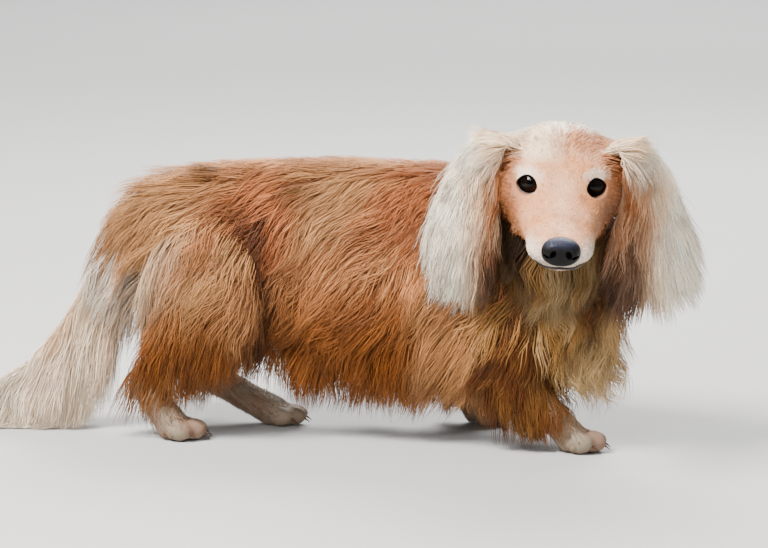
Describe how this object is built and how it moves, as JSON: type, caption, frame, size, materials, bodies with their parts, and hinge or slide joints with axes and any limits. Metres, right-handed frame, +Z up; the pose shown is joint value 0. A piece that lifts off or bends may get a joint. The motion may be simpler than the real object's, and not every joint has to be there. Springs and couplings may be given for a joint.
{
  "type": "standing long-haired dachshund model",
  "caption": "Life-size still model of a standing long-haired dachshund, its head turned to its right, with long hanging ears, a feathered chest, legs and tail.",
  "frame": {"origin": "on the floor, under the middle of the model's bounding box", "axes": "+X the way the body walks, along its spine; +Y the dog's left; +Z up"},
  "size_m": [0.672, 0.3222, 0.2837],
  "materials": {
    "red_coat": "golden red long hair, soft sheen",
    "face_coat": "short tan and cream hair",
    "pale_coat": "cream and gold long hair",
    "nose_leather": "black, fine-grained, moist",
    "eye_dark": "very dark brown, wet gloss"
  },
  "bodies": {
    "root": {"torso": "red_coat", "head": "face_coat", "neck": "red_coat", "nose": "nose_leather", "eye_left": "eye_dark", "eye_right": "eye_dark", "ear_left": "pale_coat", "ear_right": "pale_coat", "tail": "pale_coat", "upper_arm_fore_right": "red_coat", "forearm_fore_right": "red_coat", "paw_fore_right": "pale_coat", "upper_arm_fore_left": "red_coat", "forearm_fore_left": "red_coat", "paw_fore_left": "pale_coat", "thigh_hind_right": "red_coat", "shank_hind_right": "red_coat", "paw_hind_right": "pale_coat", "thigh_hind_left": "red_coat", "shank_hind_left": "red_coat", "paw_hind_left": "pale_coat"}
  },
  "joints": []
}
